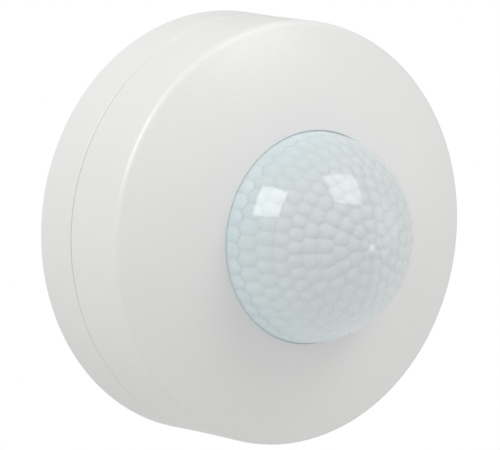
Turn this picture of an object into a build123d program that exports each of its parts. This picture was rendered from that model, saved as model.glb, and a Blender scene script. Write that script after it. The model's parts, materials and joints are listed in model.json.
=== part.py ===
from build123d import *
import os
from math import cos, radians, sin, sqrt

# Surface-mounted 360-degree passive infrared motion sensor.
#
# Row frame: millimetres, +Z up, the flat mounting face at Y = 0, the lens facing -Y.
# Every piece is drawn lying on its back: x to the right, y up the wall, z out of the wall
# towards the room. save() stands the piece up into the row frame.

# ---- driving dimensions ------------------------------------------------------------------
BACK_R = 58.5            # outer radius at the mounting face
SEAM_R = 58.1            # outer radius at the seam between base and cover
FRONT_R = 57.9           # outer radius where the side meets the face, before the fillet
SEAM_Z = 14.1            # height of the seam's middle
SEAM_GAP = 0.36          # width of the seam
FACE_R = 138.0           # radius of the gently domed face
FACE_EDGE_Z = 34.9       # height of the corner between side and face, before the fillet
RIM_FILLET = 2.0         # rounding of that corner
LENS_R = 28.9            # outer radius of the dome lens
LENS_CENTRE_Z = 41.45    # height of the dome's centre
LENS_HOLE_R = 28.94      # hole in the cover round the lens
WALL = 2.2               # wall of the mouldings
FLOOR = 2.5              # floor of the base
CLEAR = 0.3              # clearance between bodies that move past each other

# ---- bayonet between base and cover --------------------------------------------------------
SPIGOT_OUT_R = FRONT_R - WALL - 0.1
SPIGOT_IN_R = SPIGOT_OUT_R - 2.0
SPIGOT_TOP = 21.0
LUG_ANGLES = (90.0, 210.0, 330.0)
LUG_SWEEP = 8.0          # arc of each lug on the cover, degrees
TWIST = 16.0             # turn that frees the cover, degrees, anticlockwise from the front
LUG_LOW = 16.5
LUG_HIGH = 18.5

# ---- lens seat -----------------------------------------------------------------------------
LENS_WALL = 0.8
SEAT_Z = 40.0            # underside of the cover's seat for the lens flange
FLANGE_R = 32.3
FLANGE_THICK = 1.2
COLLAR_OUT_R = 34.7
COLLAR_LOW = 36.5
CLIP_ANGLES = (30.0, 150.0, 270.0)

# ---- boards and shield ---------------------------------------------------------------------
BOARD_THICK = 1.6
POWER_Z = 7.0            # underside of the power board
POWER_TOP = POWER_Z + BOARD_THICK
POWER_X = 31.0
POWER_LOW_Y = -31.0
POWER_CLIP_R = 48.0
SENSE_Z = 29.0           # underside of the sensor board
SENSE_TOP = SENSE_Z + BOARD_THICK
SENSE_R = 28.0
SENSE_LOW_Y = -16.0
SHIELD_TOP = 26.0
SHIELD_WALL = 1.6
SHIELD_R = 51.0
SHIELD_X = 34.0
SHIELD_LOW_Y = -15.0

# ---- fixings -------------------------------------------------------------------------------
SLOT_X = 42.0            # centre of each wall-screw slot
SLOT_R = 2.25
SLOT_LENGTH = 9.0
ENTRY_Y = -42.0          # centre of the cable entry
ENTRY_R = 8.0
CABLE_R = 3.5            # hole in the grommet
BOARD_POSTS = ((-27, -26), (27, -26), (-27, 34), (27, 34))
SHIELD_POSTS = ((-40, 24), (40, 24))
SENSE_POSTS = ((-22, 8), (22, 8), (0, 25))
POST_R = 3.2
SCREW_R = 1.3
PILOT_R = 1.35

# ---- terminal block ------------------------------------------------------------------------
POLES = (("line", -7.5), ("neutral", 0.0), ("load", 7.5))
BLOCK_X = 24.0
BLOCK_LOW_Y = -30.5
BLOCK_DEPTH = 12.0
BLOCK_TOP = 22.6
CAGE_Y = -25.6           # centre of each clamp and screw
CAGE_LOW = 9.3
CAGE_HIGH = 16.2
CAGE_WIDTH = 5.0
CAGE_DEPTH = 6.0
CAGE_WALL = 0.8
CLAMP_TRAVEL = 2.2
BAR_Z = 13.8
BAR_THICK = 0.8
TERMINAL_SCREW_R = 1.5

# ---- trimmers: name, x, y --------------------------------------------------------------------
TRIMMERS = (("time", -17.0, -3.0), ("lux", 17.0, -3.0), ("sensitivity", 0.0, 16.0))
TRIMMER_SIDE = 9.6
TRIMMER_TOP = 35.2
KNOB_R = 3.6
KNOB_STEM_R = 1.6

# ---- components on the power board -----------------------------------------------------------
RELAY = (-17.0, 2.0)
FILM_CAP = (16.0, -2.0)
VARISTOR = (16.0, -10.6)
FUSE = (-17.0, -10.3)
BIG_CAP = (-16.0, 20.5)
SMALL_CAP = (-3.0, 19.0)
CHOKE = (-14.5, 35.5)
DIODE_X = 18.0
DIODE_YS = (22.5, 26.5, 30.5, 34.5)
DROPPER = (16.0, 8.5)
TO92 = ((-3.0, 31.0), (5.0, 33.0))
LINK = (13.0, 16.0)
LINK_PITCH = 2.54

STAND_UP = Plane(origin=(0, 0, 0), x_dir=(1, 0, 0), z_dir=(0, -1, 0))


def save(name, *pieces):
    """Stand each solid of the piece up in the row frame and write them as one node."""
    standing = [STAND_UP.location * solid for piece in pieces for solid in piece.solids()]
    shape = standing[0] if len(standing) == 1 else Compound(children=standing)
    export_step(shape, f"parts/{name}.step")


# ---- helpers -------------------------------------------------------------------------------
def at(x, y, z, shape):
    return Pos(x, y, z) * shape


def rod(x, y, low, high, radius):
    return at(x, y, low, Cylinder(radius, high - low, align=(Align.CENTER, Align.CENTER, Align.MIN)))


def block(x0, x1, y0, y1, z0, z1):
    return at(x0, y0, z0, Box(x1 - x0, y1 - y0, z1 - z0, align=(Align.MIN, Align.MIN, Align.MIN)))


def column(x, y, low, high, width, depth):
    return block(x - width / 2, x + width / 2, y - depth / 2, y + depth / 2, low, high)


def bar_x(x0, x1, y, z, radius):
    """A round bar along x."""
    lying = Rot(0, 90, 0) * Cylinder(radius, x1 - x0, align=(Align.CENTER, Align.CENTER, Align.MIN))
    return at(x0, y, z, lying)


def turned(points, arc=360.0):
    """A body of revolution about z from its (radius, height) outline."""
    outline = Polyline(*[(r, 0, z) for r, z in points], close=True)
    return revolve(make_face(outline), Axis.Z, arc)


def sector(r_in, r_out, low, high, middle, sweep):
    """A piece of ring, centred on the angle middle."""
    ring = turned(((r_in, low), (r_out, low), (r_out, high), (r_in, high)), sweep)
    return Rot(0, 0, middle - sweep / 2) * ring


def face_z(r, inset=0.0):
    """Height of the domed face at radius r, or of its inner skin at the given inset."""
    centre = FACE_EDGE_Z - sqrt(FACE_R ** 2 - FRONT_R ** 2)
    return centre + sqrt((FACE_R - inset) ** 2 - r ** 2)


def face_arc(r_a, r_b, inset=0.0):
    r_mid = (r_a + r_b) / 2
    ends = [(r, 0, face_z(r, inset)) for r in (r_a, r_mid, r_b)]
    return ThreePointArc(*ends)


def slot_hole(x, y, low, high, length, radius):
    """A slot along x with round ends."""
    outline = SlotOverall(length, 2 * radius)
    return at(x, y, low, extrude(outline, high - low))


def round_corner(profile, r, z, radius):
    corner = profile.vertices().sort_by_distance((r, 0, z))[0]
    return fillet(corner, radius)


def clipped(low, high, half_x, low_y, radius):
    """The part of a disc of the given radius inside |x| < half_x and above low_y."""
    return rod(0, 0, low, high, radius) & block(-half_x, half_x, low_y, radius, low, high)


def pan_screw(x, y, seat, length, radius, head_r, head_h):
    """A pan-head screw with a cross recess; seat is the height of the head's underside."""
    head = fillet(rod(x, y, seat, seat + head_h, head_r).edges().sort_by(Axis.Z)[-1], head_h * 0.45)
    cross_low = seat + head_h * 0.45
    cross_high = seat + head_h + 1
    cross_a = column(x, y, cross_low, cross_high, head_r * 1.1, head_r * 0.28)
    cross_b = column(x, y, cross_low, cross_high, head_r * 0.28, head_r * 1.1)
    return head + rod(x, y, seat - length, seat, radius) - cross_a - cross_b


def slotted_screw(x, y, tip, seat, top, radius, head_r):
    """A cheese-head screw with one slot."""
    head = rod(x, y, seat, top, head_r)
    drive = column(x, y, top - 0.9, top + 1, 2 * head_r + 1, 0.8)
    return rod(x, y, tip, seat, radius) + head - drive


# ---- base ----------------------------------------------------------------------------------
def base():
    top = SEAM_Z - SEAM_GAP / 2
    inner = SEAM_R - WALL
    outline = Polyline(
        (0, 0, 0), (BACK_R, 0, 0), (SEAM_R, 0, top), (SPIGOT_OUT_R, 0, top),
        (SPIGOT_OUT_R, 0, SPIGOT_TOP), (SPIGOT_IN_R, 0, SPIGOT_TOP), (SPIGOT_IN_R, 0, top - 2),
        (inner, 0, top - 2), (inner, 0, FLOOR), (0, 0, FLOOR), close=True)
    profile = make_face(outline)
    profile = round_corner(profile, BACK_R, 0, 0.4)
    profile = round_corner(profile, SEAM_R, top, 0.5)
    profile = round_corner(profile, inner, FLOOR, 1.0)
    shell = revolve(profile, Axis.Z)
    for x, y in BOARD_POSTS:
        shell += rod(x, y, FLOOR, POWER_Z, POST_R)
        shell += column(x, y, FLOOR, POWER_Z - 1.5, 1.2, 2 * POST_R + 3)
        shell -= rod(x, y, FLOOR - 1.0, POWER_Z, PILOT_R)
    for x, y in SHIELD_POSTS:
        shell += rod(x, y, FLOOR, 8.0, POST_R + 0.2)
        shell -= rod(x, y, FLOOR - 1.0, 8.0, PILOT_R)
    for side in (-1, 1):
        x = side * SLOT_X
        shell += slot_hole(x, 0, FLOOR, 4.0, SLOT_LENGTH + 5, SLOT_R + 2.5)
        shell -= slot_hole(x, 0, -1, 5.0, SLOT_LENGTH, SLOT_R)
    shell -= rod(0, ENTRY_Y, -1, 5, ENTRY_R)
    shell -= rod(0, ENTRY_Y, -1, 1.0, ENTRY_R + 2.2)
    for middle in LUG_ANGLES:
        shell -= bayonet_slot(middle)
    return shell


def bayonet_slot(middle):
    """The L-shaped way in the spigot that a lug drops into and turns along."""
    spare = 1.0
    sweep = LUG_SWEEP + spare
    run = sector(SPIGOT_IN_R - 1, SPIGOT_OUT_R + 0.05, LUG_LOW - CLEAR, LUG_HIGH + CLEAR,
                 middle + TWIST / 2, sweep + TWIST)
    way_in = sector(SPIGOT_IN_R - 1, SPIGOT_OUT_R + 0.05, LUG_LOW - CLEAR, SPIGOT_TOP + 1,
                    middle + TWIST, sweep)
    return run + way_in


def cable_grommet():
    bore = CABLE_R
    neck = ENTRY_R - 0.05
    lip = ENTRY_R + 2.0
    return turned(((bore, 0.1), (lip, 0.1), (lip, 0.95), (neck, 0.95), (neck, 2.55), (lip - 0.4, 2.55),
                   (lip - 0.4, 3.9), (neck - 0.5, 4.3), (CABLE_R + 1.2, 7.5), (bore, 7.5)))


# ---- cover and lens --------------------------------------------------------------------------
def front_cover():
    bottom = SEAM_Z + SEAM_GAP / 2
    inner = SPIGOT_OUT_R + CLEAR
    hole_top = face_z(LENS_HOLE_R)
    roof_r = inner - 0.2
    edges = [
        Line((SEAM_R, 0, bottom), (FRONT_R, 0, FACE_EDGE_Z)),
        face_arc(FRONT_R, LENS_HOLE_R),
        Polyline((LENS_HOLE_R, 0, hole_top), (LENS_HOLE_R, 0, SEAT_Z), (FLANGE_R + 0.3, 0, SEAT_Z),
                 (FLANGE_R + 0.3, 0, COLLAR_LOW), (COLLAR_OUT_R, 0, COLLAR_LOW),
                 (COLLAR_OUT_R, 0, face_z(COLLAR_OUT_R, WALL))),
        face_arc(COLLAR_OUT_R, roof_r, WALL),
        Polyline((roof_r, 0, face_z(roof_r, WALL)), (inner, 0, bottom), (SEAM_R, 0, bottom)),
    ]
    profile = make_face(edges)
    profile = round_corner(profile, FRONT_R, FACE_EDGE_Z, RIM_FILLET)
    profile = round_corner(profile, LENS_HOLE_R, hole_top, 0.15)
    profile = round_corner(profile, roof_r, face_z(roof_r, WALL), 1.0)
    profile = round_corner(profile, SEAM_R, bottom, 0.25)
    shell = revolve(profile, Axis.Z)
    for middle in LUG_ANGLES:
        shell += sector(SPIGOT_IN_R + 0.4, inner + 0.5, LUG_LOW, LUG_HIGH, middle, LUG_SWEEP)
    for middle in CLIP_ANGLES:
        shell -= sector(FLANGE_R, COLLAR_OUT_R + 0.1, 37.1, 38.9, middle, 14)
    return shell + cover_ribs()


def cover_ribs():
    """Twelve short radial ribs that stiffen the roof of the cover outside the lens collar."""
    ribs = []
    rib_low = 36.0
    for turn in range(12):
        angle = 15 + 30 * turn
        rib = block(COLLAR_OUT_R - 0.3, 46.0, -0.5, 0.5, rib_low, face_z(46.0, WALL) + 0.3)
        ribs.append(Rot(0, 0, angle) * rib)
    return ribs


def lens():
    """The dome with its skirt and clamping flange; its inner face carries the moulded facets."""
    flange_top = SEAT_Z - 0.05
    flange_low = flange_top - FLANGE_THICK
    inner_r = LENS_R - LENS_WALL
    outer_mid = (LENS_R * sin(radians(45)), 0, LENS_CENTRE_Z + LENS_R * cos(radians(45)))
    inner_mid = (inner_r * sin(radians(45)), 0, LENS_CENTRE_Z + inner_r * cos(radians(45)))
    edges = [
        ThreePointArc((0, 0, LENS_CENTRE_Z + LENS_R), outer_mid, (LENS_R, 0, LENS_CENTRE_Z)),
        Polyline((LENS_R, 0, LENS_CENTRE_Z), (LENS_R, 0, flange_top), (FLANGE_R, 0, flange_top),
                 (FLANGE_R, 0, flange_low), (inner_r, 0, flange_low), (inner_r, 0, LENS_CENTRE_Z)),
        ThreePointArc((inner_r, 0, LENS_CENTRE_Z), inner_mid, (0, 0, LENS_CENTRE_Z + inner_r)),
        Line((0, 0, LENS_CENTRE_Z + inner_r), (0, 0, LENS_CENTRE_Z + LENS_R)),
    ]
    return revolve(make_face(edges), Axis.Z)


def lens_ring():
    """Snap ring that holds the lens flange up against the cover's seat."""
    high = SEAT_Z - 0.05 - FLANGE_THICK - 0.02
    low = high - 1.5
    ring = turned(((LENS_R - 0.3, low), (FLANGE_R, low), (FLANGE_R, high), (LENS_R - 0.3, high)))
    for middle in CLIP_ANGLES:
        ring += sector(FLANGE_R - 0.5, COLLAR_OUT_R - 0.3, low, high, middle, 12)
    return ring


# ---- power board -----------------------------------------------------------------------------
def lead_holes():
    """Centre of every component lead that passes through the power board."""
    holes = []
    holes += [(RELAY[0] + dx, RELAY[1] + dy) for dx, dy in ((-7, -5), (-7, 5), (7, -5), (7, 5), (-5, 0))]
    holes += [(FILM_CAP[0] + dx, FILM_CAP[1]) for dx in (-7.5, 7.5)]
    holes += [(VARISTOR[0] + dx, VARISTOR[1]) for dx in (-3.75, 3.75)]
    holes += [(FUSE[0] + dx, FUSE[1]) for dx in (-7.5, 7.5)]
    holes += [(BIG_CAP[0] + dx, BIG_CAP[1]) for dx in (-2.5, 2.5)]
    holes += [(SMALL_CAP[0] + dx, SMALL_CAP[1]) for dx in (-1.75, 1.75)]
    holes += [(CHOKE[0] + dx, CHOKE[1]) for dx in (-2.5, 2.5)]
    holes += [(DIODE_X + dx, y) for y in DIODE_YS for dx in (-5, 5)]
    holes += [(DROPPER[0] + dx, DROPPER[1]) for dx in (-9, 9)]
    holes += [(x + dx, y) for x, y in TO92 for dx in (-1.27, 0, 1.27)]
    return holes


def link_pin_places():
    return [(LINK[0] + LINK_PITCH * (i - 1.5), LINK[1]) for i in range(4)]


def power_board():
    board = clipped(POWER_Z, POWER_TOP, POWER_X, POWER_LOW_Y, POWER_CLIP_R)
    for x, y in BOARD_POSTS:
        board -= rod(x, y, POWER_Z - 1, POWER_TOP + 1, 1.6)
    for x, y in lead_holes():
        board -= rod(x, y, POWER_Z - 1, POWER_TOP + 1, 0.5)
    for x, y in link_pin_places():
        board -= rod(x, y, POWER_Z - 1, POWER_TOP + 1, 0.5)
    for _, x in POLES:
        board -= rod(x, BLOCK_LOW_Y + 9.3, POWER_Z - 1, POWER_TOP + 1, 0.6)
    return board


def relay_case():
    x, y = RELAY
    case = column(x, y, POWER_TOP + 0.9, 24.0, 19.0, 15.5)
    case = fillet(case.edges().filter_by(Axis.Z) + case.faces().sort_by(Axis.Z)[-1].edges(), 0.6)
    vent = rod(x - 7.5, y + 5.8, 23.6, 25, 0.5)
    return case - vent


def relay_base():
    x, y = RELAY
    return column(x, y, POWER_TOP, POWER_TOP + 0.85, 18.4, 14.9)


def film_capacitor():
    x, y = FILM_CAP
    body = column(x, y, POWER_TOP, 23.2, 18.0, 8.5)
    return fillet(body.edges().filter_by(Axis.Z) + body.faces().sort_by(Axis.Z)[-1].edges(), 0.7)


def varistor():
    x, y = VARISTOR
    disc = Rot(90, 0, 0) * Cylinder(5.0, 3.4)
    disc = fillet(disc.edges().filter_by(GeomType.CIRCLE), 1.2)
    return at(x, y, POWER_TOP + 7.0, disc)


def fuse():
    x, y = FUSE
    body = bar_x(x - 5, x + 5, y, POWER_TOP + 2.2, 2.0)
    return fillet(body.edges().filter_by(GeomType.CIRCLE), 0.7)


def can_capacitor(place, radius, height):
    """An electrolytic capacitor: its aluminium can, and the sleeve shrunk round it."""
    x, y = place
    low = POWER_TOP + 0.3
    high = low + height
    can = rod(x, y, low, high, radius - 0.25)
    can = fillet(can.edges().filter_by(GeomType.CIRCLE), 0.5)
    can -= column(x, y, high - 0.25, high + 1, 2 * radius - 2.4, 0.35)
    can -= column(x, y, high - 0.25, high + 1, 0.35, 2 * radius - 2.4)
    sleeve = rod(x, y, low - 0.15, high + 0.1, radius) - rod(x, y, low - 1, high + 1, radius - 1.0)
    return can, sleeve - rod(x, y, low, high, radius - 0.25)


def choke():
    """A drum-core choke: ferrite drum with the copper winding between its flanges."""
    x, y = CHOKE
    low = POWER_TOP
    drum = rod(x, y, low, low + 1.4, 4.5) + rod(x, y, low + 1.4, low + 8, 2.4) + rod(x, y, low + 8, low + 9.4, 4.5)
    winding = rod(x, y, low + 1.45, low + 7.95, 3.9) - rod(x, y, low, low + 9, 2.45)
    return drum, winding


def diodes():
    bodies = []
    for y in DIODE_YS:
        body = bar_x(DIODE_X - 2.6, DIODE_X + 2.6, y, POWER_TOP + 1.6, 1.35)
        bodies.append(fillet(body.edges().filter_by(GeomType.CIRCLE), 0.25))
    return bodies


def dropper_resistor():
    x, y = DROPPER
    z = POWER_TOP + 2.8
    body = bar_x(x - 6, x + 6, y, z, 2.1) + bar_x(x - 6, x - 4, y, z, 2.5) + bar_x(x + 4, x + 6, y, z, 2.5)
    ends = body.edges().filter_by(GeomType.CIRCLE).sort_by(Axis.X)
    return fillet([ends[0], ends[-1]], 0.8)


def transistors():
    bodies = []
    for x, y in TO92:
        low = POWER_TOP + 2.5
        bodies.append(rod(x, y, low, low + 4.8, 2.35) & block(x - 3, x + 3, y - 1.4, y + 3, low, low + 5))
    return bodies


def bent_lead(x_body, x_hole, y, z):
    """A lead that runs out of an axial part and turns down through the board."""
    path = FilletPolyline((x_body, y, z), (x_hole, y, z), (x_hole, y, POWER_Z - 1.2), radius=0.8)
    start = Plane(origin=(x_body, y, z), z_dir=path % 0)
    return sweep(start * Circle(0.35), path)


def component_leads():
    leads = []
    drop = POWER_Z - 1.2
    for side in (-1, 1):
        leads.append(bent_lead(FUSE[0] + 5 * side, FUSE[0] + 7.5 * side, FUSE[1], POWER_TOP + 2.2))
        leads.append(bent_lead(DROPPER[0] + 6 * side, DROPPER[0] + 9 * side, DROPPER[1], POWER_TOP + 2.8))
        leads.append(rod(FILM_CAP[0] + 7.5 * side, FILM_CAP[1], drop, POWER_TOP, 0.35))
        leads.append(rod(VARISTOR[0] + 3.75 * side, VARISTOR[1], drop, POWER_TOP + 3.4, 0.35))
        leads.append(rod(BIG_CAP[0] + 2.5 * side, BIG_CAP[1], drop, POWER_TOP + 0.3, 0.3))
        leads.append(rod(SMALL_CAP[0] + 1.75 * side, SMALL_CAP[1], drop, POWER_TOP + 0.3, 0.3))
        leads.append(rod(CHOKE[0] + 2.5 * side, CHOKE[1], drop, POWER_TOP, 0.35))
        for y in DIODE_YS:
            leads.append(bent_lead(DIODE_X + 2.6 * side, DIODE_X + 5 * side, y, POWER_TOP + 1.6))
    for x, y in TO92:
        for dx in (-1.27, 0, 1.27):
            leads.append(rod(x + dx, y, drop, POWER_TOP + 2.5, 0.25))
    for dx, dy in ((-7, -5), (-7, 5), (7, -5), (7, 5), (-5, 0)):
        leads.append(rod(RELAY[0] + dx, RELAY[1] + dy, drop, POWER_TOP, 0.45))
    return leads


# ---- terminal block --------------------------------------------------------------------------
def terminal_block():
    high_y = BLOCK_LOW_Y + BLOCK_DEPTH
    body = block(-BLOCK_X / 2, BLOCK_X / 2, BLOCK_LOW_Y, high_y, POWER_TOP, BLOCK_TOP)
    body = fillet(body.faces().sort_by(Axis.Z)[-1].edges(), 0.5)
    cavity_top = CAGE_HIGH + CLAMP_TRAVEL + 0.5
    for _, x in POLES:
        body -= column(x, CAGE_Y, CAGE_LOW - 0.3, cavity_top, CAGE_WIDTH + 0.6, CAGE_DEPTH + 0.6)
        body -= block(x - 2.0, x + 2.0, BLOCK_LOW_Y - 1, CAGE_Y, 9.7, BAR_Z)
        body -= rod(x, CAGE_Y, cavity_top - 1, BLOCK_TOP + 1, TERMINAL_SCREW_R + 0.3)
        body -= rod(x, CAGE_Y, cavity_top + 1.0, BLOCK_TOP + 1, 2.6)
        body -= block(x - 1.5, x + 1.5, CAGE_Y, BLOCK_LOW_Y + 9.8, POWER_TOP - 1, BAR_Z + BAR_THICK + 0.1)
    return body


def terminal_contact(x):
    """The fixed bar inside a clamp, with its leg and solder pin."""
    leg_y = BLOCK_LOW_Y + 9.3
    bar = block(x - 1.4, x + 1.4, CAGE_Y - 2.8, leg_y + 0.4, BAR_Z, BAR_Z + BAR_THICK)
    leg = block(x - 1.4, x + 1.4, leg_y - 0.4, leg_y + 0.4, POWER_TOP, BAR_Z)
    return bar + leg + rod(x, leg_y, POWER_Z - 1.2, POWER_TOP + 0.2, 0.4)


def terminal_clamp(x):
    """The rising cage: the wire lies in it, under the fixed bar."""
    cage = column(x, CAGE_Y, CAGE_LOW, CAGE_HIGH, CAGE_WIDTH, CAGE_DEPTH)
    cage -= column(x, CAGE_Y, CAGE_LOW + CAGE_WALL, CAGE_HIGH - 1.2, CAGE_WIDTH - 2 * CAGE_WALL, 2 * CAGE_DEPTH)
    return cage - rod(x, CAGE_Y, CAGE_HIGH - 2, CAGE_HIGH + 1, TERMINAL_SCREW_R + 0.06)


def terminal_screw(x):
    seat = CAGE_HIGH + CLAMP_TRAVEL + 0.5 + 1.0 + 0.3
    return slotted_screw(x, CAGE_Y, BAR_Z + BAR_THICK + 0.3, seat, seat + 1.7, TERMINAL_SCREW_R, 2.2)


# ---- inner shield ----------------------------------------------------------------------------
def inner_shield():
    """The moulded hood over the mains parts; the sensor board stands on its pillars."""
    foot = FLOOR + 0.1
    hood = clipped(foot, SHIELD_TOP, SHIELD_X, SHIELD_LOW_Y, SHIELD_R)
    hood = fillet(hood.faces().sort_by(Axis.Z)[-1].edges(), 1.0)
    hood -= clipped(foot - 1, SHIELD_TOP - SHIELD_WALL, SHIELD_X - SHIELD_WALL,
                    SHIELD_LOW_Y + SHIELD_WALL, SHIELD_R - SHIELD_WALL)
    hood -= block(-POWER_X - 0.4, POWER_X + 0.4, SHIELD_LOW_Y - 1, SHIELD_LOW_Y + 3, 0, POWER_TOP + 0.4)
    for x, y in SHIELD_POSTS:
        side = 1 if x > 0 else -1
        ear = rod(x, y, 8.0, 10.0, 5.0)
        ear += block(*sorted((side * (SHIELD_X - 0.5), x)), y - 5, y + 5, 8.0, 10.0)
        hood += ear
        hood -= rod(x, y, 7, 11, 1.7)
    for x, y in SENSE_POSTS:
        hood += rod(x, y, SHIELD_TOP - 0.5, SENSE_Z, 2.3)
        hood -= rod(x, y, SHIELD_TOP - 0.9, SENSE_Z + 1, 1.05)
    hood -= column(LINK[0], LINK[1], SHIELD_TOP - 3, SHIELD_TOP + 1, 11.5, 4.0)
    for i in range(7):
        y = 2.0 + 4.5 * i
        hood -= block(-SHIELD_X - 1, -SHIELD_X + 3, y, y + 2.0, 14.0, 22.0)
        hood -= block(SHIELD_X - 3, SHIELD_X + 1, y, y + 2.0, 14.0, 22.0)
    return hood


# ---- sensor board ----------------------------------------------------------------------------
LDR = (9.5, -9.5)
LED = (-9.5, -9.5)
CHIP = (-13.0, 15.0)
PIR_BASE = 34.6
PIR_LEADS = [(2.0 * cos(radians(a)), 2.0 * sin(radians(a))) for a in (45, 135, 270)]


def sensor_board():
    board = clipped(SENSE_Z, SENSE_TOP, SENSE_R, SENSE_LOW_Y, SENSE_R)
    holes = [(x, y, 1.3) for x, y in SENSE_POSTS]
    holes += [(x, y, 0.5) for x, y in link_pin_places()]
    holes += [(x, y, 0.35) for x, y in PIR_LEADS]
    holes += [(px + dx, py, 0.35) for px, py in (LDR, LED) for dx in (-1.27, 1.27)]
    for x, y, radius in holes:
        board -= rod(x, y, SENSE_Z - 1, SENSE_TOP + 1, radius)
    return board


def link_pins():
    return [column(x, y, POWER_Z - 1.2, SENSE_TOP + 1.2, 0.6, 0.6) for x, y in link_pin_places()]


def link_spacers():
    spacers = []
    for low in (POWER_TOP, SENSE_Z - 2.5):
        spacer = column(LINK[0], LINK[1], low, low + 2.5, 4 * LINK_PITCH, 2.5)
        for x, y in link_pin_places():
            spacer -= column(x, y, low - 1, low + 4, 0.66, 0.66)
        spacers.append(spacer)
    return spacers


def pir_holder():
    ring = rod(0, 0, SENSE_TOP, PIR_BASE, 6.0) - rod(0, 0, SENSE_TOP - 1, PIR_BASE + 1, 3.4)
    for angle in (0, 120, 240):
        ring -= Rot(0, 0, angle) * block(2, 8, -1.2, 1.2, SENSE_TOP + 1.2, SENSE_TOP + 2.8)
    return ring


def pir_can():
    flange = rod(0, 0, PIR_BASE, PIR_BASE + 0.5, 4.6)
    tab = Rot(0, 0, 45) * block(3, 5.4, -0.5, 0.5, PIR_BASE, PIR_BASE + 0.5)
    cup = rod(0, 0, PIR_BASE, PIR_BASE + 4.2, 4.1)
    cup = fillet(cup.edges().sort_by(Axis.Z)[-1], 0.4)
    return flange + tab + cup - column(0, 0, PIR_BASE + 3.8, PIR_BASE + 5, 5.0, 4.0)


def pir_window():
    return column(0, 0, PIR_BASE + 3.8, PIR_BASE + 4.1, 4.9, 3.9)


def pir_leads():
    return [rod(x, y, SENSE_Z - 1, PIR_BASE, 0.23) for x, y in PIR_LEADS]


def light_sensor():
    x, y = LDR
    disc = rod(x, y, SENSE_TOP + 1.5, SENSE_TOP + 3.5, 2.5)
    return disc & block(x - 3, x + 3, y - 2.1, y + 2.1, SENSE_TOP, SENSE_TOP + 4)


def status_led():
    x, y = LED
    low = SENSE_TOP + 1.0
    return rod(x, y, low, low + 1.0, 1.9) + rod(x, y, low, low + 3.8, 1.5) + at(x, y, low + 3.8, Sphere(1.5))


def signal_leads():
    leads = []
    for x, y, top in ((LDR[0], LDR[1], SENSE_TOP + 1.5), (LED[0], LED[1], SENSE_TOP + 1.0)):
        leads += [rod(x + dx, y, SENSE_Z - 1, top, 0.23) for dx in (-1.27, 1.27)]
    return leads


def controller_chip():
    x, y = CHIP
    body = column(x, y, SENSE_TOP + 0.15, SENSE_TOP + 1.65, 9.9, 3.9)
    body = chamfer(body.faces().sort_by(Axis.Z)[-1].edges(), 0.25)
    return body - rod(x - 4.2, y - 1.2, SENSE_TOP + 1.5, SENSE_TOP + 3, 0.35)


def controller_leads():
    x, y = CHIP
    leads = []
    for side in (-1, 1):
        for i in range(8):
            lead_x = x + 1.27 * (i - 3.5)
            shoulder = block(lead_x - 0.2, lead_x + 0.2, *sorted((y + 1.95 * side, y + 2.6 * side)),
                             SENSE_TOP + 0.7, SENSE_TOP + 0.95)
            foot = block(lead_x - 0.2, lead_x + 0.2, *sorted((y + 2.35 * side, y + 3.1 * side)),
                         SENSE_TOP, SENSE_TOP + 0.22)
            shin = block(lead_x - 0.2, lead_x + 0.2, *sorted((y + 2.35 * side, y + 2.6 * side)),
                         SENSE_TOP, SENSE_TOP + 0.95)
            leads.append(shoulder + foot + shin)
    return leads


def chip_parts(places, length, width, height):
    return [column(x, y, SENSE_TOP, SENSE_TOP + height, length, width) for x, y in places]


CHIP_RESISTORS = [(-5 + 2.6 * i, -13.2) for i in range(5)] + [(10.0, 5.5), (10.0, 8.0), (-9.5, 8.0)]
CHIP_CAPACITORS = [(-22.0, 13.0), (-22.0, 15.5), (8.0, 11.0), (-9.5, 5.5)]


def trimmer_body(x, y):
    body = column(x, y, SENSE_TOP, TRIMMER_TOP, TRIMMER_SIDE, TRIMMER_SIDE)
    body = fillet(body.edges().filter_by(Axis.Z), 0.8)
    return body - rod(x, y, SENSE_TOP + 1.0, TRIMMER_TOP + 1, KNOB_STEM_R + 0.06)


def trimmer_knob(x, y):
    """A knob with a fluted rim, a screwdriver slot and a pointer notch towards the top."""
    low = TRIMMER_TOP + CLEAR
    high = low + 2.4
    knob = rod(x, y, low, high, KNOB_R)
    for i in range(16):
        angle = radians(22.5 * i + 11.25)
        knob -= rod(x + (KNOB_R + 0.15) * cos(angle), y + (KNOB_R + 0.15) * sin(angle), low - 1, high + 1, 0.4)
    knob += rod(x, y, SENSE_TOP + 1.3, low, KNOB_STEM_R)
    knob -= column(x, y, high - 1.2, high + 1, 1.0, 5.0)
    return knob - block(x - 0.35, x + 0.35, y + 2.5, y + 4.5, high - 0.5, high + 1)


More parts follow.
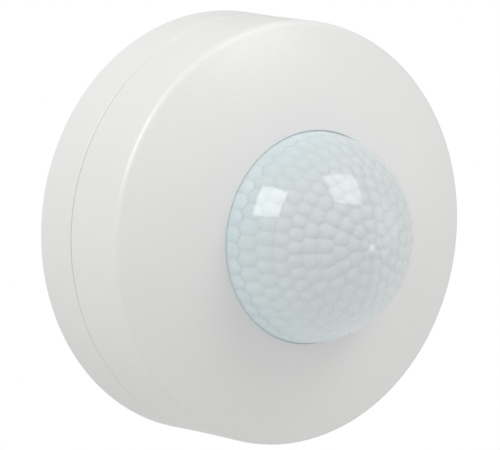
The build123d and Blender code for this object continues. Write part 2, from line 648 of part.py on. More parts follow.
# ---- write every node ------------------------------------------------------------------------
def main():
    os.makedirs("parts", exist_ok=True)
    save("base", base())
    save("cable_grommet", at(0, ENTRY_Y, 0, cable_grommet()))
    save("front_cover", front_cover())
    save("lens", lens())
    save("lens_ring", lens_ring())

    save("power_board", power_board())
    save("power_board_screws", *[pan_screw(x, y, POWER_TOP, 5.6, SCREW_R, 2.7, 1.9) for x, y in BOARD_POSTS])
    save("relay_case", relay_case())
    save("relay_base", relay_base())
    save("film_capacitor", film_capacitor())
    save("varistor", varistor())
    save("fuse", fuse())
    big_can, big_sleeve = can_capacitor(BIG_CAP, 6.25, 14.0)
    small_can, small_sleeve = can_capacitor(SMALL_CAP, 4.0, 11.0)
    save("electrolytic_cans", big_can, small_can)
    save("electrolytic_sleeves", big_sleeve, small_sleeve)
    drum, winding = choke()
    save("choke_core", drum)
    save("choke_winding", winding)
    save("rectifier_diodes", *diodes())
    save("dropper_resistor", dropper_resistor())
    save("transistors", *transistors())
    save("component_leads", *component_leads())

    save("terminal_block", terminal_block())
    save("terminal_contacts", *[terminal_contact(x) for _, x in POLES])
    for name, x in POLES:
        save(f"terminal_clamp_{name}", terminal_clamp(x))
        save(f"terminal_screw_{name}", terminal_screw(x))

    save("inner_shield", inner_shield())
    save("shield_screws", *[pan_screw(x, y, 10.0, 6.5, SCREW_R, 2.8, 1.9) for x, y in SHIELD_POSTS])

    save("sensor_board", sensor_board())
    save("sensor_board_screws", *[pan_screw(x, y, SENSE_TOP, 4.5, 1.0, 2.1, 1.5) for x, y in SENSE_POSTS])
    save("link_pins", *link_pins())
    save("link_spacers", *link_spacers())
    save("pir_holder", pir_holder())
    save("pir_can", pir_can())
    save("pir_window", pir_window())
    save("pir_leads", *pir_leads())
    save("light_sensor", light_sensor())
    save("status_led", status_led())
    save("signal_leads", *signal_leads())
    save("controller_chip", controller_chip())
    save("controller_leads", *controller_leads())
    save("chip_resistors", *chip_parts(CHIP_RESISTORS, 1.25, 2.0, 0.55))
    save("chip_capacitors", *chip_parts(CHIP_CAPACITORS, 2.0, 1.25, 0.9))
    for name, x, y in TRIMMERS:
        save(f"{name}_trimmer", trimmer_body(x, y))
        save(f"{name}_knob", trimmer_knob(x, y))


main()
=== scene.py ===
import json
from math import cos, pi, radians, sin

import bpy
import numpy as np
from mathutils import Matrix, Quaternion, Vector


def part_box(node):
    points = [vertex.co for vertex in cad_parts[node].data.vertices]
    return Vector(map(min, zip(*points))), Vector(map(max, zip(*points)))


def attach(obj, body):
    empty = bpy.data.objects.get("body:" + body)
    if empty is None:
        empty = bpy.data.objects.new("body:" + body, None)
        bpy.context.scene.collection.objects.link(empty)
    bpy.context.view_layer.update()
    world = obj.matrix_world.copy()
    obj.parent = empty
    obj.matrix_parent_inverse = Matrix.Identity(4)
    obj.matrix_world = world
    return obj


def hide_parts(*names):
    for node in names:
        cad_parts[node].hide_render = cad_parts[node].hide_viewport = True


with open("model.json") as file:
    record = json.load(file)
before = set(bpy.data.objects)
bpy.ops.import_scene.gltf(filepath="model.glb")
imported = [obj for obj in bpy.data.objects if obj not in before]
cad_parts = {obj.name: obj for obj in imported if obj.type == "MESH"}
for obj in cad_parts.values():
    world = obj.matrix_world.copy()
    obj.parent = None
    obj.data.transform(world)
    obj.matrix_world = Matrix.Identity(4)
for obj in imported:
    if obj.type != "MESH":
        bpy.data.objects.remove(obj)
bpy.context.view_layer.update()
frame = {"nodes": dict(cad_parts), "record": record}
record = frame["record"]
nodes = frame["nodes"]
MM = 0.001
base_colours = {m["slot"]: m["base_color"][:3] for m in record["materials"]}
slot_of = {s["node"]: s["material_slot"] for s in record["subparts"]}


# ---- camera, floor and light ----------------------------------------------------------------
CAMERA_AZIMUTH = radians(-35.97)
CAMERA_ELEVATION = radians(7.28)
CAMERA_DISTANCE = 1.0842
CAMERA_AIM = Vector((-0.00897, -0.0279, 0.00231))
CAMERA_LENS = 288.0      # millimetres
SENSOR_WIDTH = 36.0      # millimetres
LIGHTS_AIM = Vector((0, -0.04, 0))
STUDIO_LEVEL = 0.59      # even light from all round
BACKGROUND_LEVEL = 1.0   # what the camera sees behind the part
FLOOR_HALF = 1.5         # metres
FLOOR_LEVEL = -0.6
FLOOR_TONE = 0.82
FLOOR_ROUGHNESS = 0.9
FLOOR_EMISSION = 0.1


def direction(azimuth, elevation):
    """Unit vector from the object, azimuth 0 straight out of its face, elevation above level."""
    return Vector((sin(azimuth) * cos(elevation), -cos(azimuth) * cos(elevation), sin(elevation)))


def add_camera():
    data = bpy.data.cameras.new("camera")
    data.lens = CAMERA_LENS
    data.sensor_width = SENSOR_WIDTH
    data.clip_start = 0.05
    data.clip_end = 50.0
    camera = bpy.data.objects.new("camera", data)
    back = direction(CAMERA_AZIMUTH, CAMERA_ELEVATION)
    camera.location = CAMERA_AIM + back * CAMERA_DISTANCE
    camera.rotation_euler = (-back).to_track_quat("-Z", "Y").to_euler()
    bpy.context.scene.collection.objects.link(camera)
    bpy.context.scene.camera = camera


def add_softbox(name, towards, distance, width, radiance, roll=0.0):
    """A square softbox facing the lens, with the radiance its face shows, rolled by degrees."""
    data = bpy.data.lights.new(name, "AREA")
    data.shape = "SQUARE"
    data.size = width
    data.energy = radiance * pi * width * width
    light = bpy.data.objects.new(name, data)
    towards = Vector(towards).normalized()
    light.location = LIGHTS_AIM + towards * distance
    facing = (-towards).to_track_quat("-Z", "Z") @ Quaternion((0, 0, 1), radians(roll))
    light.rotation_euler = facing.to_euler()
    bpy.context.scene.collection.objects.link(light)


def add_stage_face(name, corners):
    mesh = bpy.data.meshes.new(name)
    mesh.from_pydata([tuple(c) for c in corners], [], [(0, 1, 2, 3)])
    face = bpy.data.objects.new(name, mesh)
    bpy.context.scene.collection.objects.link(face)
    return face


def add_world(strength, background):
    """Even studio light from all round, in front of a white background."""
    world = bpy.data.worlds.new("studio")
    world.use_nodes = True
    tree = world.node_tree
    sky = tree.nodes["Background"]
    sky.inputs["Color"].default_value = (1.0, 1.0, 1.0, 1.0)
    ray = tree.nodes.new("ShaderNodeLightPath")
    level = tree.nodes.new("ShaderNodeMapRange")
    level.inputs["To Min"].default_value = strength
    level.inputs["To Max"].default_value = background
    tree.links.new(ray.outputs["Is Camera Ray"], level.inputs["Value"])
    tree.links.new(level.outputs["Result"], sky.inputs["Strength"])
    bpy.context.scene.world = world


def add_floor():
    """A plain pale floor, well below the part, which hangs on its wall mount."""
    signs = ((-1, -1), (1, -1), (1, 1), (-1, 1))
    floor = add_stage_face("floor", [(x * FLOOR_HALF, y * FLOOR_HALF, FLOOR_LEVEL) for x, y in signs])
    material, _, shader = new_material("floor_pale")
    shader.inputs["Base Color"].default_value = (FLOOR_TONE, FLOOR_TONE, FLOOR_TONE, 1.0)
    shader.inputs["Roughness"].default_value = FLOOR_ROUGHNESS
    shader.inputs["Emission Color"].default_value = (1.0, 1.0, 1.0, 1.0)
    shader.inputs["Emission Strength"].default_value = FLOOR_EMISSION
    floor.data.materials.append(material)


# ---- material helpers -------------------------------------------------------------------------
def new_material(name):
    material = bpy.data.materials.new(name)
    material.use_nodes = True
    tree = material.node_tree
    return material, tree, tree.nodes["Principled BSDF"]


def add_node(tree, kind, **settings):
    node = tree.nodes.new(kind)
    for key, value in settings.items():
        setattr(node, key, value)
    return node


def noise(tree, size, detail=2.0, stretch=(1, 1, 1)):
    """Noise whose features are about size metres across, fixed to the piece."""
    where = add_node(tree, "ShaderNodeTexCoord")
    scaling = add_node(tree, "ShaderNodeMapping")
    scaling.inputs["Scale"].default_value = [1.0 / (size * s) for s in stretch]
    texture = add_node(tree, "ShaderNodeTexNoise")
    texture.inputs["Scale"].default_value = 1.0
    texture.inputs["Detail"].default_value = detail
    tree.links.new(where.outputs["Object"], scaling.inputs["Vector"])
    tree.links.new(scaling.outputs["Vector"], texture.inputs["Vector"])
    return texture.outputs["Fac"]


def spread(tree, value, low, high):
    """Map the middle of a noise on to low..high."""
    ranged = add_node(tree, "ShaderNodeMapRange")
    ranged.inputs["From Min"].default_value = 0.3
    ranged.inputs["From Max"].default_value = 0.7
    ranged.inputs["To Min"].default_value = low
    ranged.inputs["To Max"].default_value = high
    tree.links.new(value, ranged.inputs["Value"])
    return ranged.outputs["Result"]


def shaded(tree, colour, value, low, high):
    """The colour times a factor that goes from low to high with value."""
    mix = add_node(tree, "ShaderNodeMix", data_type="RGBA")
    mix.inputs["A"].default_value = [min(1.0, c * low) for c in colour] + [1.0]
    mix.inputs["B"].default_value = [min(1.0, c * high) for c in colour] + [1.0]
    tree.links.new(value, mix.inputs["Factor"])
    return mix.outputs["Result"]


def bump(tree, shader, height, depth):
    node = add_node(tree, "ShaderNodeBump")
    node.inputs["Distance"].default_value = depth
    tree.links.new(height, node.inputs["Height"])
    tree.links.new(node.outputs["Normal"], shader.inputs["Normal"])


def moulded(name, colour, roughness, grain, depth, mottle=0.03, coat=0.0):
    """Moulded plastic: a fine skin grain, and colour and gloss that vary a little."""
    material, tree, shader = new_material(name)
    broad = spread(tree, noise(tree, 0.018), 0.0, 1.0)
    tree.links.new(shaded(tree, colour, broad, 1 - mottle, 1 + mottle), shader.inputs["Base Color"])
    fine = noise(tree, grain, 3.0)
    tree.links.new(spread(tree, fine, roughness - 0.05, roughness + 0.05), shader.inputs["Roughness"])
    bump(tree, shader, fine, depth)
    shader.inputs["Coat Weight"].default_value = coat
    shader.inputs["Coat Roughness"].default_value = 0.08
    return material


def metal(name, colour, roughness, grain, stretch):
    """Bare or plated metal: fine rolling marks and uneven gloss."""
    material, tree, shader = new_material(name)
    shader.inputs["Metallic"].default_value = 1.0
    broad = spread(tree, noise(tree, 0.003, 4.0), 0.0, 1.0)
    tree.links.new(shaded(tree, colour, broad, 0.86, 1.08), shader.inputs["Base Color"])
    fine = noise(tree, grain, 4.0, stretch)
    tree.links.new(spread(tree, fine, roughness - 0.08, roughness + 0.1), shader.inputs["Roughness"])
    bump(tree, shader, fine, 0.00001)
    return material


# ---- the dome lens -----------------------------------------------------------------------------
# Rows of lenslets from the pole outwards: cells in the row, its edges in degrees from the pole,
# and the bearing of one cell's centre, measured round the axis from straight down. The counts are
# approximate, and the bearings of the five innermost rows are a guess.
LENSLET_ROWS = (
    (5, 0.0, 7.4, 180.0), (9, 7.4, 14.5, 180.0), (15, 14.5, 22.5, 180.0), (21, 22.5, 31.0, 180.0),
    (25, 31.0, 38.6, 180.0), (35, 38.6, 46.5, -1.0), (35, 46.5, 54.5, 4.0), (40, 54.5, 64.3, 6.5),
    (40, 64.3, 75.5, 2.3), (40, 75.5, 89.0, 6.3),
)
LENS_COLUMNS = 600
LENS_ROWS = 170
PILLOW = 0.16 * MM       # rise of a lenslet above the valleys between lenslets
GATE_R = 0.75 * MM       # moulding gate mark at the pole
GATE_RISE = 0.05 * MM
GATE_SHARPNESS = 1.6     # above 1, so that the gate mark has a flat middle and a soft edge
GATE_REACH = 0.1         # radians from the pole over which the outside dips to the mark's foot
PILLOW_LEVEL = 0.35      # height on a lenslet that lies on the wall's inner sphere
FADE_END = 89.5          # degrees from the pole where the lenslets have run out
FADE_WIDTH = 1.5
POLE_CALM = 1.5          # degrees round the pole with no relief, which then comes in over the next
POLE_BLEND = 3.0
SKIRT_FILLET = 0.3 * MM
FLANGE_CHAMFER = 0.2 * MM
# The cool colour is painted shade: darker and bluer, it comes in towards the dome's rim and stands in for
# the darkening at grazing angles. The warm colour is the lens's plain colour.
LENS_COOL_RIM_SHADE = (0.405, 0.470, 0.482)
LENS_WARM = (0.440, 0.470, 0.472)
LENS_GATE = (0.56, 0.59, 0.59)
LENS_GLOW = 0.54         # emission that stands in for light scattered inside the dome; it gives
                         # about 40% of the dome's tone in the main picture, and a real lens has none
LENS_VALLEY_SHADE = 0.960        # painted shade: tone of the valleys between lenslets
RELIEF_SLOPE = 0.030     # tilt that a lenslet's slope gives to the light under the surface


def lenslet_field(polar, bearing):
    """For each direction on the dome, in radians: height of the lenslet there from 0 at its
    corners to 1 at its middle, the distance to the next lenslet's border, and how far the
    direction is inside the last row, below 0 outside it."""
    near = np.full(polar.shape, 1e9)
    second = np.full(polar.shape, 1e9)
    for count, inner, outer, centre in LENSLET_ROWS:
        half_height = radians(outer - inner) / 2
        middle = radians(outer + inner) / 2
        step = 2 * pi / count
        offset = np.mod(bearing - radians(centre) + step / 2, step) - step / 2
        rows_before = near
        along = (polar - middle) / half_height
        own = along ** 2 + (offset / (step / 2)) ** 2
        beside = along ** 2 + ((offset - np.sign(offset) * step) / (step / 2)) ** 2
        for distance in (own, beside):
            second = np.minimum(second, np.maximum(distance, near))
            near = np.minimum(near, distance)
    height = 1 - near / 2
    border = (second - near) / 4
    return np.clip(height, 0, 1), border, rows_before - own


def lens_dimensions():
    """Radius, centre and flange of the dome, read off the CAD lens."""
    low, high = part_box("lens")
    flange_r = high.x
    apex = -low.y
    back = -high.y
    mesh = nodes["lens"].data
    points = np.array([v.co for v in mesh.vertices])
    radial = np.hypot(points[:, 0], points[:, 2])
    depth = -points[:, 1]
    flange_top = depth[radial > flange_r - 0.0001].max()
    outer_r = radial[depth > flange_top + 0.0002].max()
    inner_r = radial[depth < back + 0.0001].min()
    return {"apex": apex, "back": back, "flange_r": flange_r, "flange_top": flange_top,
            "outer": outer_r, "inner": inner_r, "centre": apex - outer_r}


def dome_lens():
    """The whole lens: smooth outside, lenslets inside, with its skirt and flange."""
    size = lens_dimensions()
    bearings = np.arange(LENS_COLUMNS) * 2 * pi / LENS_COLUMNS
    polars = pi / 2 * np.arange(1, LENS_ROWS + 1) / LENS_ROWS
    grid_polar, grid_bearing = np.meshgrid(polars, bearings, indexing="ij")
    height, border, last_row = lenslet_field(grid_polar, grid_bearing)
    fade = np.clip((radians(FADE_END) - grid_polar) / radians(FADE_WIDTH), 0, 1)
    inner = size["inner"] + PILLOW * (PILLOW_LEVEL - height) * fade

    gate = np.clip(GATE_SHARPNESS - size["outer"] * grid_polar / GATE_R, 0, 1)
    dip = GATE_RISE * (1 - gate) * (1 - grid_polar / GATE_REACH)
    outer = np.where(grid_polar < GATE_REACH, size["outer"] - dip, size["outer"])
    radial_rows = [outer * np.sin(grid_polar)]
    depth_rows = [size["centre"] + outer * np.cos(grid_polar)]
    flange_r, top, back = size["flange_r"], size["flange_top"], size["back"]
    skirt = [
        (size["outer"], top + SKIRT_FILLET),
        (size["outer"] + SKIRT_FILLET, top),
        (flange_r - FLANGE_CHAMFER, top),
        (flange_r, top - FLANGE_CHAMFER),
        (flange_r, back + FLANGE_CHAMFER),
        (flange_r - FLANGE_CHAMFER, back),
        (size["inner"], back),
    ]
    for r, z in skirt:
        radial_rows.append(np.full((1, LENS_COLUMNS), r))
        depth_rows.append(np.full((1, LENS_COLUMNS), z))
    radial_rows.append((inner * np.sin(grid_polar))[::-1])
    depth_rows.append((size["centre"] + inner * np.cos(grid_polar))[::-1])
    radial = np.concatenate(radial_rows)
    depth = np.concatenate(depth_rows)
    turn = np.broadcast_to(bearings, radial.shape)
    points = np.stack([-radial * np.sin(turn), -depth, -radial * np.cos(turn)], -1).reshape(-1, 3)
    row_count = radial.shape[0]
    outer_pole = len(points)
    inner_pole = outer_pole + 1
    pole_in = size["centre"] + size["inner"] - (1 - PILLOW_LEVEL) * PILLOW
    points = np.concatenate([points, [[0, -size["apex"], 0], [0, -pole_in, 0]]])

    column = np.arange(LENS_COLUMNS)
    following = (column + 1) % LENS_COLUMNS
    faces = []
    for row in range(row_count - 1):
        a = row * LENS_COLUMNS
        b = a + LENS_COLUMNS
        faces += np.stack([a + column, a + following, b + following, b + column], -1).tolist()
    last = (row_count - 1) * LENS_COLUMNS
    faces += [[outer_pole, f, c] for c, f in zip(column.tolist(), following.tolist())]
    faces += [[last + c, last + f, inner_pole] for c, f in zip(column.tolist(), following.tolist())]

    mesh = bpy.data.meshes.new("dome_lens")
    mesh.from_pydata(points.tolist(), [], faces)
    mesh.validate()
    mesh.shade_smooth()
    write_lens_relief(mesh, height, grid_polar, grid_bearing, len(skirt))
    layers = (("border", border, 1.0), ("last_row", last_row, 1.0), ("gate", gate, 0.0),
              ("polar", grid_polar / (pi / 2), 1.0))
    for name, values, fill in layers:
        layer = mesh.attributes.new(name, "FLOAT", "POINT")
        layer.data.foreach_set("value", over_mesh(values, fill, len(skirt)).astype(np.float32))
    piece = bpy.data.objects.new("dome_lens", mesh)
    bpy.context.scene.collection.objects.link(piece)
    return piece


def over_mesh(values, fill, skirt_rows):
    """One value per vertex: the same inside and outside the dome, fill on the skirt, and the first row's
    mean at the poles.
    """
    plain = np.full((skirt_rows, LENS_COLUMNS), fill)
    poles = [values[0].mean(), values[0].mean()]
    return np.concatenate([values.ravel(), plain.ravel(), values[::-1].ravel(), poles])


def write_lens_relief(mesh, height, polar, bearing, skirt_rows):
    """Store the slope of the lenslets, which shows through the milky wall, as a normal."""
    step_polar = polar[1, 0] - polar[0, 0]
    step_bearing = bearing[0, 1] - bearing[0, 0]
    slope_polar = np.gradient(height, step_polar, axis=0)
    wrapped = np.concatenate([height[:, -1:], height, height[:, :1]], 1)
    slope_bearing = (wrapped[:, 2:] - wrapped[:, :-2]) / (2 * step_bearing) / np.sin(polar)
    sin_p, cos_p = np.sin(polar), np.cos(polar)
    sin_b, cos_b = np.sin(bearing), np.cos(bearing)
    outward = np.stack([-sin_p * sin_b, -cos_p, -sin_p * cos_b], -1)
    down = np.stack([-cos_p * sin_b, sin_p, -cos_p * cos_b], -1)
    round_ = np.stack([-cos_b, np.zeros_like(bearing), sin_b], -1)
    tilt = RELIEF_SLOPE * np.clip((polar - radians(POLE_CALM)) / radians(POLE_BLEND), 0, 1)[..., None]
    relief = tilt * (slope_polar[..., None] * down + slope_bearing[..., None] * round_)
    normal = outward - relief
    normal /= np.linalg.norm(normal, axis=-1, keepdims=True)
    parts = [over_mesh(normal[..., i], 0.0, skirt_rows) for i in range(3)]
    layer = mesh.attributes.new("relief", "FLOAT_VECTOR", "POINT")
    layer.data.foreach_set("vector", np.stack(parts, -1).astype(np.float32).ravel())


def attribute(tree, name):
    return add_node(tree, "ShaderNodeAttribute", attribute_name=name).outputs["Fac"]


def ramp(tree, value, stops):
    """A grey level read off (position, level) stops, with the position scaled to 0..1."""
    node = add_node(tree, "ShaderNodeValToRGB")
    node.color_ramp.interpolation = "EASE"
    elements = node.color_ramp.elements
    while len(elements) < len(stops):
        elements.new(0.5)
    for element, (position, level) in zip(elements, stops):
        element.position = position
        element.color = (level, level, level, 1.0)
    tree.links.new(value, node.inputs["Fac"])
    return node.outputs["Color"]


def multiplied(tree, colour, factor):
    mix = add_node(tree, "ShaderNodeMix", data_type="RGBA", blend_type="MULTIPLY")
    mix.inputs["Factor"].default_value = 1.0
    tree.links.new(colour, mix.inputs["A"])
    tree.links.new(factor, mix.inputs["B"])
    return mix.outputs["Result"]


def mixed(tree, first, second, factor):
    """A mix of two colours, each a constant or a socket."""
    mix = add_node(tree, "ShaderNodeMix", data_type="RGBA")
    for socket, colour in (("A", first), ("B", second)):
        if isinstance(colour, tuple):
            mix.inputs[socket].default_value = colour + (1.0,)
        else:
            tree.links.new(colour, mix.inputs[socket])
    tree.links.new(factor, mix.inputs["Factor"])
    return mix.outputs["Result"]


def scaled(tree, value, low, high):
    """Map low..high on to 0..1."""
    ranged = add_node(tree, "ShaderNodeMapRange")
    ranged.inputs["From Min"].default_value = low
    ranged.inputs["From Max"].default_value = high
    tree.links.new(value, ranged.inputs["Value"])
    return ranged.outputs["Result"]


def lens_material():
    """Milky polyethylene under a clear smooth gloss, with painted shade towards the rim and in the valleys
    between lenslets. It emits LENS_GLOW, which a real lens doesn't.
    """
    material, tree, shader = new_material("lens_plastic")
    cloud = spread(tree, noise(tree, 0.014), -0.25, 0.25)
    # outward rises towards the dome's rim and turns the colour cooler and darker there, which is painted
    # shade. The cloud is a random tint.
    outward = scaled(tree, attribute(tree, "polar"), 0.5, 0.9)
    cloud_and_rim_shade = add_node(tree, "ShaderNodeMath", operation="ADD", use_clamp=True)
    tree.links.new(cloud, cloud_and_rim_shade.inputs[0])
    tree.links.new(outward, cloud_and_rim_shade.inputs[1])
    body = mixed(tree, LENS_WARM, LENS_COOL_RIM_SHADE, cloud_and_rim_shade.outputs["Value"])
    # Painted shade: the valleys between lenslets are painted darker, and the scalloped border of the last
    # row darker still.
    valley_shade = ramp(tree, attribute(tree, "border"), ((0.0, LENS_VALLEY_SHADE), (0.16, 0.988), (0.4, 1.0)))
    rim_valley_shade = ramp(tree, scaled(tree, attribute(tree, "last_row"), -1.0, 1.0),
                    ((0.10, 1.0), (0.42, 0.92), (0.60, 0.955), (0.90, 1.0)))
    body = multiplied(tree, multiplied(tree, body, valley_shade), rim_valley_shade)
    body = mixed(tree, body, LENS_GATE, attribute(tree, "gate"))
    tree.links.new(body, shader.inputs["Base Color"])
    tree.links.new(body, shader.inputs["Emission Color"])
    shader.inputs["Emission Strength"].default_value = LENS_GLOW
    shader.inputs["Subsurface Weight"].default_value = 0.6
    shader.inputs["Subsurface Radius"].default_value = (1.0, 1.05, 1.1)
    shader.inputs["Subsurface Scale"].default_value = 0.0014
    shader.inputs["Roughness"].default_value = 0.5
    shader.inputs["Specular IOR Level"].default_value = 0.1
    shader.inputs["Coat Weight"].default_value = 1.0
    shader.inputs["Coat Roughness"].default_value = 0.01
    shader.inputs["Coat IOR"].default_value = 1.53
    smooth = add_node(tree, "ShaderNodeNewGeometry")
    tree.links.new(smooth.outputs["Normal"], shader.inputs["Coat Normal"])
    relief = add_node(tree, "ShaderNodeAttribute", attribute_name="relief")
    to_world = add_node(tree, "ShaderNodeVectorTransform", vector_type="NORMAL",
                        convert_from="OBJECT", convert_to="WORLD")
    tree.links.new(relief.outputs["Vector"], to_world.inputs["Vector"])
    tree.links.new(to_world.outputs["Vector"], shader.inputs["Normal"])
    return material


# ---- housing -----------------------------------------------------------------------------------
def housing_material():
    """White ABS with the fine skin of a spark-eroded mould."""
    material, tree, shader = new_material("white_housing")
    colour = base_colours["white_housing"]
    broad = spread(tree, noise(tree, 0.03), 0.0, 1.0)
    tree.links.new(shaded(tree, colour, broad, 0.992, 1.008), shader.inputs["Base Color"])
    grain = noise(tree, 0.0009, 3.0)
    tree.links.new(spread(tree, grain, 0.32, 0.42), shader.inputs["Roughness"])
    shader.inputs["Specular IOR Level"].default_value = 0.85
    bump(tree, shader, grain, 0.00005)
    return material


# ---- pieces inside --------------------------------------------------------------------------------
# Roughness, grain size and depth in metres, colour mottle and clear coat of each plastic.
PLASTIC_FINISH = {
    "inner_plastic": (0.42, 0.0008, 0.00002, 0.02),
    "grey_rubber": (0.72, 0.0003, 0.00003, 0.10),
    "terminal_plastic": (0.34, 0.0006, 0.00001, 0.05, 0.25),
    "relay_plastic": (0.28, 0.0010, 0.00001, 0.06, 0.35),
    "film_capacitor_resin": (0.50, 0.0005, 0.00002, 0.07),
    "varistor_epoxy": (0.36, 0.0016, 0.00006, 0.10, 0.6),
    "fuse_ceramic": (0.46, 0.0004, 0.00004, 0.08, 0.4),
    "sleeve_film": (0.24, 0.0030, 0.00004, 0.12, 0.6),
    "black_epoxy": (0.58, 0.0002, 0.00001, 0.15),
    "sensor_window": (0.14, 0.0020, 0.00001, 0.10, 0.8),
    "chip_ceramic": (0.52, 0.0002, 0.00001, 0.08),
    "trimmer_plastic": (0.40, 0.0003, 0.00001, 0.06, 0.1),
    "knob_plastic": (0.38, 0.0004, 0.00001, 0.05, 0.1),
}
# Roughness, mark size in metres, and how far the marks are drawn out along x, y and z.
METAL_FINISH = {
    "zinc_steel": (0.30, 0.0003, (1, 1, 1)),
    "brass_parts": (0.26, 0.0002, (1, 6, 1)),
    "can_aluminium": (0.24, 0.0002, (1, 8, 1)),
    "tinned_wire": (0.20, 0.0003, (1, 4, 1)),
    "sensor_can": (0.18, 0.0002, (1, 5, 1)),
}


def waves(tree, size, axis):
    """Even bands, size metres apart, across an axis of the piece."""
    where = add_node(tree, "ShaderNodeTexCoord")
    bands = add_node(tree, "ShaderNodeTexWave", wave_type="BANDS", bands_direction=axis)
    bands.inputs["Scale"].default_value = pi / (10.0 * size)
    bands.inputs["Distortion"].default_value = 0.6
    tree.links.new(where.outputs["Object"], bands.inputs["Vector"])
    return bands.outputs["Fac"]


TRACKS_PER_METRE = 110.0


def board_material():
    """Green solder mask over copper tracks, with the laminate showing darker between them."""
    material, tree, shader = new_material("circuit_board")
    green = base_colours["circuit_board"]
    where = add_node(tree, "ShaderNodeTexCoord")
    flat = add_node(tree, "ShaderNodeMapping")
    flat.inputs["Rotation"].default_value = (pi / 2, 0, 0)
    flat.inputs["Scale"].default_value = (TRACKS_PER_METRE,) * 3
    tracks = add_node(tree, "ShaderNodeTexBrick", offset=0.4, squash=0.6, squash_frequency=3)
    tracks.inputs["Scale"].default_value = 1.0
    tracks.inputs["Mortar Size"].default_value = 0.07
    tracks.inputs["Mortar Smooth"].default_value = 0.2
    tree.links.new(where.outputs["Object"], flat.inputs["Vector"])
    tree.links.new(flat.outputs["Vector"], tracks.inputs["Vector"])
    weave = spread(tree, noise(tree, 0.0006, 3.0), 0.0, 1.0)
    laminate = shaded(tree, green, weave, 0.75, 0.9)
    copper = shaded(tree, green, weave, 1.25, 1.5)
    tree.links.new(mixed(tree, copper, laminate, tracks.outputs["Fac"]), shader.inputs["Base Color"])
    shader.inputs["Roughness"].default_value = 0.32
    shader.inputs["Coat Weight"].default_value = 0.5
    bump(tree, shader, tracks.outputs["Fac"], -0.00003)
    return material


def winding_material():
    """Enamelled copper wire wound in turns one beside the next, with painted shade in the grooves between
    turns and painted highlight on their crowns.
    """
    material, tree, shader = new_material("copper_wire")
    turns_and_groove_shade = waves(tree, 0.0005, "Y")
    shader.inputs["Metallic"].default_value = 0.9
    # The base colour goes from 0.55 to 1.15 of the copper across each turn: painted shade in the grooves and
    # painted highlight on the crowns.
    tree.links.new(shaded(tree, base_colours["copper_wire"], turns_and_groove_shade, 0.55, 1.15), shader.inputs["Base Color"])
    tree.links.new(spread(tree, noise(tree, 0.0006), 0.22, 0.36), shader.inputs["Roughness"])
    shader.inputs["Coat Weight"].default_value = 0.6
    bump(tree, shader, turns_and_groove_shade, 0.00015)
    return material


def light_cell_material():
    """The light cell: a buff ceramic disc with a dark track to and fro over it, under lacquer."""
    material, tree, shader = new_material("light_cell")
    track = waves(tree, 0.0009, "X")
    tree.links.new(shaded(tree, base_colours["light_cell"], track, 0.6, 1.3), shader.inputs["Base Color"])
    tree.links.new(spread(tree, noise(tree, 0.0008), 0.2, 0.32), shader.inputs["Roughness"])
    shader.inputs["Coat Weight"].default_value = 0.7
    return material


def ferrite_material():
    """Sintered ferrite: near black, dull and finely pitted."""
    material, tree, shader = new_material("ferrite")
    pits = noise(tree, 0.0004, 6.0)
    pitted = shaded(tree, base_colours["ferrite"], spread(tree, pits, 0.0, 1.0), 0.7, 1.3)
    tree.links.new(pitted, shader.inputs["Base Color"])
    tree.links.new(spread(tree, pits, 0.55, 0.75), shader.inputs["Roughness"])
    bump(tree, shader, pits, 0.00005)
    return material


def led_material():
    """Tinted diffusing resin."""
    material = moulded("led_resin", base_colours["led_resin"], 0.2, 0.0008, 0.00001, 0.08, 0.6)
    shader = material.node_tree.nodes["Principled BSDF"]
    shader.inputs["Subsurface Weight"].default_value = 0.5
    shader.inputs["Subsurface Scale"].default_value = 0.001
    return material


# ---- solder joints ------------------------------------------------------------------------------
# Radius and height above the board of a fillet of solder, from its foot up.
SOLDER_PROFILE = (
    (0.95 * MM, 0.0), (0.62 * MM, 0.22 * MM), (0.45 * MM, 0.50 * MM), (0.36 * MM, 0.85 * MM),
)
SOLDER_SIDES = 14
LEAD_SHOWS = 0.3 * MM     # a lead that stands out further than this has a fillet
LEAD_APART = 1.0 * MM     # points closer than this belong to one lead


def lead_tips(board, leads):
    """The height of a board's wall side, and the (x, z) of each lead that comes out of it."""
    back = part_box(board)[1].y
    tips = []
    for name in leads:
        points = np.array([v.co for v in nodes[name].data.vertices])
        points = points[points[:, 1] > back + LEAD_SHOWS][:, [0, 2]]
        while len(points):
            near = np.hypot(*(points - points[0]).T) < LEAD_APART
            tips.append(points[near].mean(axis=0))
            points = points[~near]
    return back, tips


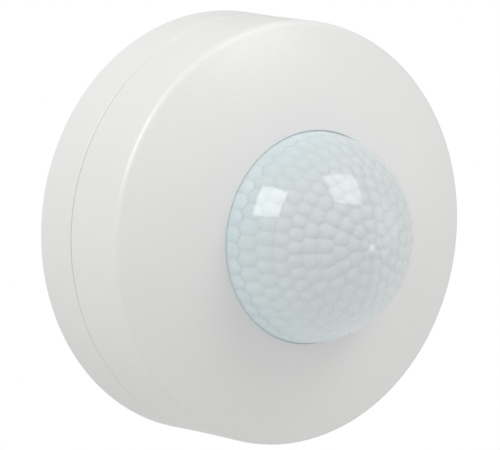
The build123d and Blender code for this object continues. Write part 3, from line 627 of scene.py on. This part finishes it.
def solder_joints(name, board, leads):
    """A fillet of solder round each lead, on the wall side of its board."""
    back, tips = lead_tips(board, leads)
    angles = np.arange(SOLDER_SIDES) * 2 * pi / SOLDER_SIDES
    points = []
    faces = []
    for x, z in tips:
        start = len(points)
        for radius, height in SOLDER_PROFILE:
            points += [(x + radius * cos(t), back + height, z + radius * sin(t)) for t in angles]
        for ring in range(len(SOLDER_PROFILE) - 1):
            a = start + ring * SOLDER_SIDES
            b = a + SOLDER_SIDES
            for i in range(SOLDER_SIDES):
                j = (i + 1) % SOLDER_SIDES
                faces.append((a + i, b + i, b + j, a + j))
        last = start + (len(SOLDER_PROFILE) - 1) * SOLDER_SIDES
        faces.append(tuple(range(start, start + SOLDER_SIDES)))
        faces.append(tuple(range(last + SOLDER_SIDES - 1, last - 1, -1)))
    mesh = bpy.data.meshes.new(name)
    mesh.from_pydata(points, [], faces)
    mesh.shade_smooth()
    mesh.materials.append(SLOT_MATERIALS["tinned_wire"])
    piece = bpy.data.objects.new(name, mesh)
    bpy.context.scene.collection.objects.link(piece)
    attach(piece, "housing")


# ---- build --------------------------------------------------------------------------------------
bpy.context.scene.view_settings.view_transform = "Standard"
add_camera()
add_world(STUDIO_LEVEL, BACKGROUND_LEVEL)
add_softbox("softbox_left", (-0.778, -0.045, 0.626), distance=0.9, width=0.47, radiance=4.2, roll=10.0)
add_softbox("softbox_front", (0.296, -0.569, 0.768), distance=0.9, width=0.49, radiance=2.9)
add_softbox("fill_right", (0.85, -0.50, 0.12), distance=1.6, width=1.0, radiance=0.5)
add_floor()

SLOT_MATERIALS = {
    "white_housing": housing_material(),
    "lens_plastic": lens_material(),
    "circuit_board": board_material(),
    "copper_wire": winding_material(),
    "light_cell": light_cell_material(),
    "ferrite": ferrite_material(),
    "led_resin": led_material(),
}
for slot, finish in PLASTIC_FINISH.items():
    SLOT_MATERIALS[slot] = moulded(slot, base_colours[slot], *finish)
for slot, finish in METAL_FINISH.items():
    SLOT_MATERIALS[slot] = metal(slot, base_colours[slot], *finish)

for name, node in nodes.items():
    material = SLOT_MATERIALS[slot_of[name]]
    node.data.materials.clear()
    node.data.materials.append(material)

lens_piece = dome_lens()
lens_piece.data.materials.append(SLOT_MATERIALS["lens_plastic"])
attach(lens_piece, "cover")
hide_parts("lens")

solder_joints("power_board_solder", "power_board", ("component_leads", "link_pins"))
solder_joints("sensor_board_solder", "sensor_board", ("pir_leads", "signal_leads"))
